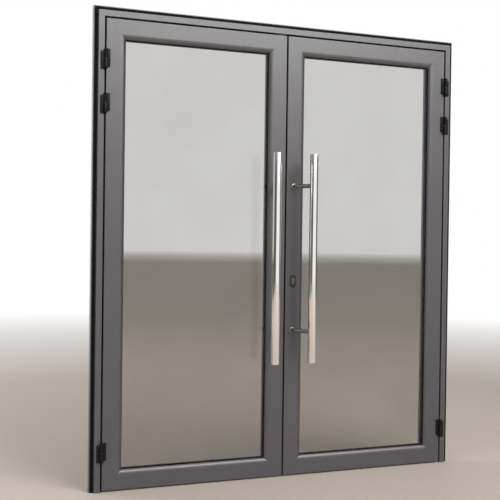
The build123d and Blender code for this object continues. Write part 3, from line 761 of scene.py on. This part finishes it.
@dataclass
class PullHandle:
    """One leaf's pull bar: a closed tube on two slanted posts with small roses."""

    name: str
    side: int
    low: float = 0.567
    length: float = 1.0
    radius: float = 0.020
    from_centre: float = 0.0955
    stand_off: float = 0.115
    wall: float = 0.002
    plug: Outline = ((-1.2, 0.3), (-0.5, 0.3), (-0.3, 0.9), (0.0, 0.9), (0.15, 0.1), (0.3, 0.0))
    rim: Outline = ((-1.0, 0.0), (-0.5, 0.15), (-0.15, 0.5), (0.0, 1.0))
    post_x: float = 0.043
    post_from_end: float = 0.150
    post_radius: float = 0.0105
    post_foot: float = 0.0002
    post_stub: float = 0.022
    post_bend: float = 0.018
    post_into_bar: float = 0.003
    bend_steps: int = 8
    rose_radius: float = 0.014
    rose_thickness: float = 0.003
    rose_rim: Outline = ((0.0, -1.2), (-0.4, -0.4), (-1.3, 0.0))
    rose_collar: Outline = ((0.5, 0.0), (0.3, -0.4), (-0.5, -0.4))
    leaf_depth: float = 0.065
    bolt_radius: float = 0.004
    bolt_depth: float = 0.015
    cap_radius: float = 0.009
    cap_height: float = 0.005
    cap_dome: Outline = ((0.0, -2.6), (-0.3, -1.7), (-1.1, -0.9), (-2.4, -0.3), (-4.0, 0.0))
    cap_socket: float = 0.003
    socket_span: Outline = ((0.0, -3.0), (0.0, 1.0))

    def make_bar(self) -> Piece:
        """The tube with its closing plugs, their fine seams and its chamfers, in its place.

        Returns:
            The tube.
        """
        end = outline_at(self.radius - self.wall, 0.0, self.plug) + outline_at(self.radius, 0.0, self.rim)
        far_end = [(radius, self.length - rise) for radius, rise in reversed(end)]
        bar = Bench.turned(f"{self.name}_pull_tube", end + far_end, sides=96)
        bar.location = (self.side * self.from_centre, -self.stand_off, self.low)
        Bench.settle(bar)
        Bench.smooth(bar)
        return bar

    def make_post(self) -> Piece:
        """Bend one post with its rose, its foot at the origin, standing along Z and leaning to X.

        Returns:
            The post.
        """
        across = self.from_centre - self.post_x
        out = self.stand_off - self.post_stub
        lean = math.atan2(across, out)
        lost = self.post_bend * math.tan(lean / 2)
        before_bend = self.post_stub - lost
        after_bend = math.hypot(across, out) - lost - self.radius + self.post_into_bar
        foot = (self.post_radius, self.post_foot)
        post = Bench.turned("post", [foot, (self.post_radius, before_bend)], sides=40)
        pivot = (self.post_bend, 0.0, before_bend)
        turn = -lean / self.bend_steps
        run = Vector((math.sin(lean), 0.0, math.cos(lean))) * after_bend
        with Bench.editing(post, "FACE", lambda place, normal: normal.z > 0.9 and place.z > MM):
            for _ in range(self.bend_steps):
                bpy.ops.mesh.extrude_region_move(TRANSFORM_OT_translate={"value": (0, 0, 0)})
                bpy.ops.transform.rotate(value=turn, orient_axis="Y", center_override=pivot)
            bpy.ops.mesh.extrude_region_move(TRANSFORM_OT_translate={"value": run})
        Bench.outwards(post)
        rose = Bench.turned("rose", [
            (self.rose_radius, 0.0),
            *outline_at(self.rose_radius, self.rose_thickness, self.rose_rim),
            *outline_at(self.post_radius, self.rose_thickness, self.rose_collar),
        ], sides=56)
        return Bench.join("post", [post, rose])

    def make_bolt(self) -> Piece:
        """A through bolt along Z from the post's end to its domed cap on the leaf's inside.

        Returns:
            The bolt.
        """
        inside = self.leaf_depth
        top = inside + self.cap_height
        bolt = Bench.turned("bolt", [
            *outline_at(self.bolt_radius, -self.bolt_depth, ((-0.5, 0.0), (0.0, 0.5))),
            (self.bolt_radius, inside),
            *outline_at(self.cap_radius, inside, ((-0.3, 0.0), (0.0, 0.3))),
            *outline_at(self.cap_radius, top, self.cap_dome),
        ])
        socket = outline_at(self.cap_socket, top, self.socket_span)
        Bench.cut(bolt, Bench.turned("socket", socket, sides=6))
        return bolt

    def make_pair(self, name: str, pattern: Piece, along: Point) -> Piece:
        """Two copies of a pattern, one at each post, as one object.

        Args:
            name: The object's name after the leaf's.
            pattern: What stands at the origin along Z. It is removed.
            along: Where its Z axis points.

        Returns:
            The pair.
        """
        heights = (self.low + self.post_from_end, self.low + self.length - self.post_from_end)
        places = [(self.side * self.post_x, 0.0, height) for height in heights]
        pair = Bench.copies(f"{self.name}_{name}", pattern, places, along, (self.side, 1, 1))
        bpy.data.objects.remove(pattern)
        return pair

    def make(self) -> None:
        """Build the bar, its posts and their bolts and hand them over."""
        body = f"{self.name}_leaf"
        Bench.hand_over(self.make_bar(), body, "stainless", [f"{self.name}_pull_bar"])
        posts = self.make_pair("pull_brackets", self.make_post(), (0, -1, 0))
        # The posts wear the darker steel colour, painted shade on the same stainless as the bar.
        Bench.hand_over(posts, body, "stainless", [f"{self.name}_pull_posts"], "post_steel_painted_shade")
        bolts = self.make_pair("pull_cap_bolts", self.make_bolt(), (0, 1, 0))
        Bench.hand_over(bolts, body, "stainless", [f"{self.name}_pull_bolts"])


@dataclass
class SurfaceHinges:
    """The surface hinges of both leaves: plates with rounded edges, grooved barrels and socket screws."""

    axis_x: float = 0.898
    axis_y: float = -0.010
    heights: tuple[float, float, float] = (0.182, 1.762, 1.961)
    half_height: float = 0.080
    stagger: float = 0.010
    plate_reach: float = 0.0215
    plate_near: float = 0.004
    plate_thickness: float = 0.007
    plate_lift: float = 0.02 * MM
    plate_chamfer: float = 0.002
    plate_round: float = 0.7 * MM
    barrel_radius: float = 0.009
    barrel_gap: float = 0.0004
    barrel_foot: Outline = ((-0.6, 0.0), (-0.2, 0.2), (0.0, 0.6))
    barrel_groove: Outline = ((0.0, -6.6), (-0.5, -6.2), (-0.5, -5.4), (0.0, -5.0))
    barrel_rim: Outline = ((0.0, -1.6), (-0.25, -0.8), (-0.9, -0.2), (-1.6, 0.0), (-3.2, 0.0))
    barrel_pin: Outline = ((-3.4, -0.5), (-3.9, -0.5), (-4.4, -0.1), (-6.0, 0.0))
    bush_half: float = 0.001
    screw_out: float = 0.015
    screw_spacing: float = 0.050
    screw_radius: float = 0.0037
    screw_head: Outline = ((0.0, 0.02), (0.0, 0.35), (-0.3, 0.75), (-1.1, 1.05), (-1.8, 1.15))
    socket_radius: float = 0.0016
    socket_span: Outline = ((0.0, 0.3), (0.0, 2.0))

    def make_half(self) -> Piece:
        """Half a hinge around an axis through the origin: its plate towards -X and its barrel above.

        Returns:
            The half hinge.
        """
        own_end = (self.half_height + self.stagger) / 2
        other_end = -(self.half_height - self.stagger) / 2
        low = (-self.plate_reach, -self.plate_thickness, other_end)
        plate = Bench.block("plate", low, (-self.plate_near, -self.plate_lift, own_end))
        edge_x, edge_y = -self.plate_near - MM, -self.plate_thickness + MM
        with Bench.editing(plate, "VERT", lambda place, normal: place.x < edge_x and place.y < edge_y):
            bpy.ops.mesh.bevel(offset=self.plate_chamfer, segments=4, affect="EDGES")
        Bench.round_edges(plate, self.plate_round, segments=3, angle=50.0)
        room = self.barrel_radius + self.barrel_gap
        scoop = Bench.turned("scoop", [(room, other_end - MM), (room, self.bush_half)], sides=64)
        head = self.barrel_groove + self.barrel_rim + self.barrel_pin
        barrel = Bench.turned("barrel", [
            *outline_at(self.barrel_radius, self.bush_half, self.barrel_foot),
            *outline_at(self.barrel_radius, own_end, head),
        ])
        for piece in (scoop, barrel):
            piece.location.y = self.axis_y
            Bench.settle(piece)
        Bench.cut(plate, scoop)
        return Bench.join("hinge_half", [plate, barrel])

    def make_screws(self) -> Piece:
        """The two low-headed socket screws of one hinge half, on the face of its plate.

        Returns:
            The two screws.
        """
        head = Bench.turned("screw", outline_at(self.screw_radius, 0.0, self.screw_head), sides=36)
        socket = outline_at(self.socket_radius, 0.0, self.socket_span)
        Bench.cut(head, Bench.turned("socket", socket, sides=6))
        ends = (self.stagger - self.screw_spacing, self.stagger + self.screw_spacing)
        places = [(-self.screw_out, -self.plate_thickness, rise / 2) for rise in ends]
        pair = Bench.copies("screw_pair", head, places, (0, -1, 0), (1, 1, 1))
        bpy.data.objects.remove(head)
        return pair

    def make(self) -> None:
        """Copy the half hinge and its screws to every place and hand them over."""
        half = self.make_half()
        screws = self.make_screws()
        for name, side in SIDES:
            places = [(side * self.axis_x, 0.0, height) for height in self.heights]
            for group, body, flip in (
                ("leaf", f"{name}_leaf", (side, 1, 1)),
                ("frame", "frame", (-side, 1, -1)),
            ):
                plates = Bench.copies(f"{name}_{group}_hinge_plates", half, places, None, flip)
                Bench.hand_over(plates, body, "hinge_black", [f"{name}_hinge_{group}_halves"])
                heads = Bench.copies(f"{name}_{group}_hinge_screws", screws, places, None, flip)
                Bench.hand_over(heads, body, "hinge_black", (), "screw_black")
        bpy.data.objects.remove(half)
        bpy.data.objects.remove(screws)


@dataclass
class LockFurniture:
    """The oval escutcheons on both faces of the right leaf, and the thumb turn inside."""

    lock_x: float = 0.043
    width: float = 0.032
    length: float = 0.065
    thickness: float = 0.003
    lift: float = 0.02 * MM
    rim: Outline = ((0.0, -1.6), (-0.3, -0.9), (-0.9, -0.3), (-1.8, 0.0))
    drop: float = 0.008
    leaf_depth: float = 0.065
    cylinder_radius: float = 0.0085
    tail_width: float = 0.010
    tail_drop: float = 0.0195
    room: float = 0.0002
    hole_span: Span = (-5.0 * MM, 10.0 * MM)
    turn_thickness: float = 0.009
    turn_neck: float = 0.002
    turn_neck_rim: Outline = ((0.0, -0.5), (-0.5, 0.0), (-2.0, 0.0))
    turn_sink: float = 0.1 * MM
    turn_round: float = 0.0036

    def make_plate(self) -> Piece:
        """One escutcheon with a rounded rim and the cylinder's hole, facing along Z, its length along Y.

        Returns:
            The escutcheon.
        """
        half = self.width / 2
        rim = outline_at(half, self.thickness, self.rim)
        plate = Bench.turned("plate", [(half, self.lift), *rim], sides=72)
        straight = (self.length - self.width) / 2
        for way in (1, -1):
            with Bench.editing(plate, "VERT", lambda place, normal: way * place.y > 0.01 * MM):
                bpy.ops.transform.translate(value=(0, way * straight, 0))
        deep, tall = self.hole_span
        head = self.cylinder_radius + self.room
        half_tail = self.tail_width / 2 + self.room
        foot = self.drop - self.tail_drop
        for radius, rise, sides in ((head, self.drop, 48), (half_tail, foot, 32)):
            tool = Bench.turned("hole", [(radius, deep), (radius, tall)], sides)
            tool.location.y = rise
            Bench.settle(tool)
            Bench.cut(plate, tool)
        Bench.cut(plate, Bench.block("web", (-half_tail, foot, deep), (half_tail, self.drop, tall)))
        return plate

    def make_turn(self, box: Corners) -> Piece:
        """The thumb turn inside: a round neck and a soft oblong grip.

        Args:
            box: The corners of the turn's solid.

        Returns:
            The turn.
        """
        low, high = box
        middle = (low + high) / 2
        radius = (high.x - low.x) / 2
        rim = outline_at(radius, self.turn_neck, self.turn_neck_rim)
        neck = Bench.turned("neck", [(radius, 0.0), *rim])
        placed = Bench.copy(neck, (middle.x, low.y, middle.z), (0, 1, 0))
        bpy.data.objects.remove(neck)
        half = self.turn_thickness / 2
        start = (middle.x - half, low.y + self.turn_neck - self.turn_sink, low.z)
        grip = Bench.block("grip", start, (middle.x + half, high.y, high.z))
        Bench.round_edges(grip, self.turn_round, segments=6)
        turn = Bench.join("lock_thumb_turn", [placed, grip])
        Bench.smooth(turn, angle=50.0)
        return turn

    def make(self, plates_box: Corners, turn_box: Corners) -> None:
        """Place an escutcheon on each face, make the thumb turn and hand them over.

        Args:
            plates_box: The corners of the escutcheons' solids.
            turn_box: The corners of the thumb turn's solid.
        """
        middle = (plates_box[0].z + plates_box[1].z) / 2
        pattern = self.make_plate()
        outside = Bench.copy(pattern, (self.lock_x, 0.0, middle), (0, -1, 0))
        inside = Bench.copy(pattern, (self.lock_x, self.leaf_depth, middle), (0, 1, 0))
        bpy.data.objects.remove(pattern)
        plates = Bench.join("lock_oval_plates", [outside, inside])
        Bench.smooth(plates)
        Bench.hand_over(plates, "right_leaf", "escutcheon_black", ["lock_escutcheons"])
        Bench.hand_over(self.make_turn(turn_box), "key_plug", "nickel", ["thumb_turn"])


@dataclass
class GlazingSeals:
    """The rubber seals around one leaf's glass: a ring with a rounded lip outside and another inside."""

    name: str
    ring_width: float = 0.0125
    front: Span = (0.0125, 0.0150)
    back: Span = (0.0390, 0.0430)
    lip_round: float = 0.0009

    def make_ring(self, width: float, height: float, thickness: float) -> Piece:
        """One rectangular ring that lies on the origin, its thickness along Z.

        Args:
            width: Its outer size along X.
            height: Its outer size along Y.
            thickness: How thick it is.

        Returns:
            The ring.
        """
        bpy.ops.mesh.primitive_plane_add(size=1.0)
        ring = bpy.context.object
        ring.scale = (width, height, 1.0)
        Bench.settle(ring)
        with Bench.editing(ring, "FACE"):
            bpy.ops.mesh.inset(thickness=self.ring_width)
            bpy.ops.mesh.delete(type="FACE")
            bpy.ops.mesh.select_all(action="SELECT")
            bpy.ops.mesh.extrude_region_move(TRANSFORM_OT_translate={"value": (0, 0, thickness)})
        Bench.outwards(ring)
        Bench.round_edges(ring, self.lip_round, segments=3, angle=60.0)
        return ring

    def make(self, box: Corners) -> None:
        """Place both rings and hand them over.

        Args:
            box: The corners of the seals' solids.
        """
        low, high = box
        middle = (low + high) / 2
        rings = []
        for outer, inner in (self.front, self.back):
            pattern = self.make_ring(high.x - low.x, high.z - low.z, inner - outer)
            rings.append(Bench.copy(pattern, (middle.x, outer, middle.z), (0, 1, 0)))
            bpy.data.objects.remove(pattern)
        seals = Bench.join(f"{self.name}_glass_seals", rings)
        Bench.smooth(seals)
        Bench.hand_over(seals, f"{self.name}_leaf", "rubber_seal", [f"{self.name}_glazing_gaskets"])


@dataclass
class BottomBrush:
    """The brush seal under one leaf: a holder with rounded edges and rows of bristle tufts."""

    name: str
    holder_height: float = 0.0025
    holder_round: float = 0.4 * MM
    rows: int = 3
    row_pitch: float = 0.0016
    tuft_pitch: float = 0.0021
    tuft_radius: float = 0.0009
    tuft_tip: float = 0.0005
    tuft_taper: float = 0.6
    tuft_sink: float = 0.4 * MM
    lean: float = 7.0
    lean_turn: float = 2.4
    lean_shares: Span = (0.6, 0.4)

    def make(self, box: Corners) -> None:
        """Build the holder and the tufts and hand them over.

        Args:
            box: The corners of the brush's solid.
        """
        low, high = box
        centre = (low.y + high.y) / 2
        holder_low = high.z - self.holder_height
        holder = Bench.block("holder", (low.x, low.y, holder_low), high)
        Bench.round_edges(holder, self.holder_round, segments=2)
        length = holder_low - low.z + self.tuft_sink
        wide = [(self.tuft_radius, length * self.tuft_taper), (self.tuft_radius, length)]
        pattern = Bench.turned("tuft", [(self.tuft_tip, 0.0), *wide], sides=6)
        row = []
        for index in range(self.rows):
            across = (index - (self.rows - 1) / 2) * self.row_pitch
            shift = self.tuft_pitch * (0.5 + index / self.rows)
            tuft = Bench.copy(pattern, (low.x + shift + self.tuft_radius, centre + across, low.z))
            sway = math.tan(math.radians(self.lean)) * length * math.cos(self.lean_turn * index)
            to_x, to_y = (sway * share for share in self.lean_shares)
            with Bench.editing(tuft, "VERT", lambda place, normal: place.z < low.z + 0.1 * MM):
                bpy.ops.transform.translate(value=(to_x, to_y, 0))
            row.append(tuft)
        bpy.data.objects.remove(pattern)
        tufts = Bench.join("tufts", row)
        room = high.x - low.x - self.tuft_pitch * 2 - 2 * self.tuft_radius
        kind = {"use_relative_offset": False, "use_constant_offset": True}
        pitch = (self.tuft_pitch, 0, 0)
        count = int(room / self.tuft_pitch)
        Bench.finish_with(tufts, "ARRAY", count=count, constant_offset_displace=pitch, **kind)
        brush = Bench.join(f"{self.name}_brush_strip", [holder, tufts])
        Bench.smooth(brush)
        Bench.hand_over(brush, f"{self.name}_leaf", "bristle", [f"{self.name}_bottom_brush"])


@dataclass(frozen=True)
class Lamp:
    """One soft area lamp, with its size in metres and its power in watts."""

    name: str
    place: Point
    size: Span
    power: float
    mirrored: bool = True

    def make(self, aim: Point) -> None:
        """Hang the lamp and point it.

        Args:
            aim: What it points at.
        """
        data = bpy.data.lights.new(self.name, "AREA")
        data.shape = "RECTANGLE"
        data.size, data.size_y = self.size
        data.energy = self.power
        lamp = bpy.data.objects.new(self.name, data)
        lamp.location = self.place
        lamp.rotation_euler = (Vector(aim) - Vector(self.place)).to_track_quat("-Z", "Y").to_euler()
        lamp.visible_camera = False
        lamp.visible_transmission = False
        lamp.visible_glossy = self.mirrored
        bpy.context.scene.collection.objects.link(lamp)


@dataclass
class Studio:
    """The pale floor, the soft lamps, the white surroundings and the camera."""

    floor_half: float = 90.0
    floor_colour: Colour = (0.60, 0.52, 0.45)
    floor_tone: float = 0.96
    floor_roughness: float = 0.6
    speckle_scale: float = 60.0
    speckle_share: float = 0.3
    cloud_scale: float = 1.3
    fade: Span = (3.4, 10.0)
    fade_through_glass: Span = (40.0, 80.0)
    white: Colour = (1.0, 1.0, 1.0)
    soft_white: Colour = (0.97, 0.985, 1.0)
    warm_white: Colour = (1.0, 0.985, 0.97)
    front_to_back: Span = (-0.4, 0.4)
    front_and_back_light: Span = (0.60, 0.10)
    overhead: Span = (0.25, 0.6)
    flag_turn: float = 8.0
    flag_edges: Span = (51.0, 38.0)
    flag_light: float = 0.12
    aim: Point = (0.0, 0.0, 1.2)
    lamps: tuple[Lamp, ...] = (
        Lamp("key", (2.4, -6.2, 5.1), (5.5, 2.4), 450.0),
        Lamp("back_fill", (-5.5, 4.2, 1.9), (3.0, 2.2), 240.0),
        Lamp("left_fill", (-5.6, -2.6, 1.5), (2.6, 2.6), 120.0, mirrored=False),
    )
    camera_place: Point = (-1.87631, -4.18149, 1.15914)
    camera_turn: Point = (22.02537, 0.68158, 0.75131)
    lens: float = 67.72936

    def ray_shares(self, graph: NodeSums) -> tuple[Socket, Socket, Socket]:
        """Which kind of ray asks for a colour.

        Args:
            graph: The node tree that asks.

        Returns:
            1 or 0 for a ray straight from the camera, one through glass, and a reflected one.
        """
        path = graph.tree.nodes.new("ShaderNodeLightPath").outputs
        unscattered = graph.math("LESS_THAN", path["Diffuse Depth"], 0.5)
        through = graph.math("MULTIPLY", path["Is Transmission Ray"], unscattered)
        reflected = graph.math("SUBTRACT", path["Is Glossy Ray"], path["Is Transmission Ray"])
        reflected = graph.math("MULTIPLY", graph.math("MAXIMUM", reflected, 0.0), unscattered)
        return path["Is Camera Ray"], through, reflected

    def side_flags(self, graph: NodeSums, direction: Socket) -> Socket:
        """How bright the surroundings look in polished metal: white in front and behind, dark at the sides.

        Args:
            graph: The node tree that asks.
            direction: Where the ray goes, or the place on the floor that it meets.

        Returns:
            The brightness.
        """
        across, ahead = graph.axis(direction, "X"), graph.axis(direction, "Y")
        squares = [graph.math("MULTIPLY", part, part) for part in (across, ahead)]
        level = graph.math("MAXIMUM", graph.math("SQRT", graph.math("ADD", *squares)), MM)
        turn = math.radians(self.flag_turn)
        part_across = graph.math("MULTIPLY", across, math.sin(turn))
        part_ahead = graph.math("MULTIPLY", ahead, math.cos(turn))
        along = graph.math("ABSOLUTE", graph.math("SUBTRACT", part_ahead, part_across))
        facing = graph.math("DIVIDE", along, level)
        edges = tuple(math.cos(math.radians(angle)) for angle in self.flag_edges)
        return graph.spread(facing, edges, (self.flag_light, 1.0))

    def make_world(self) -> None:
        """White surroundings, and a plain soft light from all sides."""
        world = bpy.data.worlds.new("soft_white")
        bpy.context.scene.world = world
        world.use_nodes = True
        graph = NodeSums(world.node_tree)
        graph.tree.nodes.clear()
        around = graph.tree.nodes.new("ShaderNodeTexCoord").outputs["Generated"]
        strength = graph.spread(graph.axis(around, "Y"), self.front_to_back, self.front_and_back_light)
        overhead = graph.spread(graph.axis(around, "Z"), self.overhead, WHOLE)
        mirrored = graph.math("MAXIMUM", self.side_flags(graph, around), overhead)
        straight, through, reflected = self.ray_shares(graph)
        lighting = graph.light("Background", self.soft_white, strength)
        shown = graph.light("Background", self.white, 1.0)
        both = graph.mixed(graph.math("MAXIMUM", straight, through), lighting, shown)
        surroundings = graph.mixed(reflected, both, graph.light("Background", self.warm_white, mirrored))
        output = graph.tree.nodes.new("ShaderNodeOutputWorld")
        graph.join(surroundings, output.inputs["Surface"])

    def make_floor(self) -> None:
        """A plain pale floor that fades into the white surroundings far from the door."""
        bpy.ops.mesh.primitive_plane_add(size=2 * self.floor_half)
        floor = bpy.context.object
        floor.name = "studio_floor"
        graph = Graph("studio_floor")
        speckle = graph.noise(self.speckle_scale, detail=5.0)
        both = graph.blend(speckle, graph.noise(self.cloud_scale, detail=3.0), self.speckle_share)
        toned = tuple(self.floor_tone * channel for channel in self.floor_colour)
        graph.set(Base_Color=graph.tint(both, toned, self.floor_colour), Roughness=self.floor_roughness)
        length = graph.tree.nodes.new("ShaderNodeVectorMath")
        length.operation = "LENGTH"
        graph.join(graph.place, length.inputs[0])
        straight, through, reflected = self.ray_shares(graph)
        shares = []
        for rays, fade in (
            (graph.math("MAXIMUM", straight, reflected), self.fade),
            (through, self.fade_through_glass),
        ):
            shares.append(graph.math("MULTIPLY", rays, graph.spread(length.outputs["Value"], fade, WHOLE)))
        plain = graph.math("MAXIMUM", straight, through)
        strength = graph.math("MAXIMUM", self.side_flags(graph, graph.place), plain)
        white = graph.light("Emission", self.white, strength)
        mix = graph.mixed(graph.math("MAXIMUM", *shares), graph.shader.outputs["BSDF"], white)
        graph.join(mix, graph.output.inputs["Surface"])
        floor.data.materials.append(graph.material)

    def make_camera(self) -> None:
        """The camera at the photograph's place."""
        yaw, pitch, roll = (math.radians(angle) for angle in self.camera_turn)
        data = bpy.data.cameras.new("camera")
        data.lens = self.lens
        camera = bpy.data.objects.new("camera", data)
        level = Matrix(((1, 0, 0), (0, 0, -1), (0, 1, 0)))
        tilt = Matrix.Rotation(roll, 3, "Z") @ Matrix.Rotation(pitch, 3, "X")
        seen = tilt @ Matrix.Rotation(-yaw, 3, "Y") @ level
        axes = Matrix((seen[0], -seen[1], -seen[2])).transposed()
        camera.matrix_world = Matrix.Translation(self.camera_place) @ axes.to_4x4()
        bpy.context.scene.collection.objects.link(camera)
        bpy.context.scene.camera = camera

    def make(self) -> None:
        """Build the whole studio."""
        self.make_world()
        self.make_floor()
        for lamp in self.lamps:
            lamp.make(self.aim)
        self.make_camera()
        bpy.context.scene.view_settings.view_transform = "Standard"


def main() -> None:
    """Build the studio, the finishes and the dressed pieces."""
    logging.basicConfig(level=logging.INFO, format="%(name)s: %(message)s")
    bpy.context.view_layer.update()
    bpy.ops.object.select_all(action="DESELECT")
    Studio().make()
    finishes = Finishes()
    finishes.make()
    finishes.dress_nodes()
    for name, side in SIDES:
        PullHandle(name, side).make()
        GlazingSeals(name).make(corners(f"{name}_glazing_gaskets"))
        BottomBrush(name).make(corners(f"{name}_bottom_brush"))
    SurfaceHinges().make()
    LockFurniture().make(corners("lock_escutcheons"), corners("thumb_turn"))


if __name__ == "__main__":
    main()
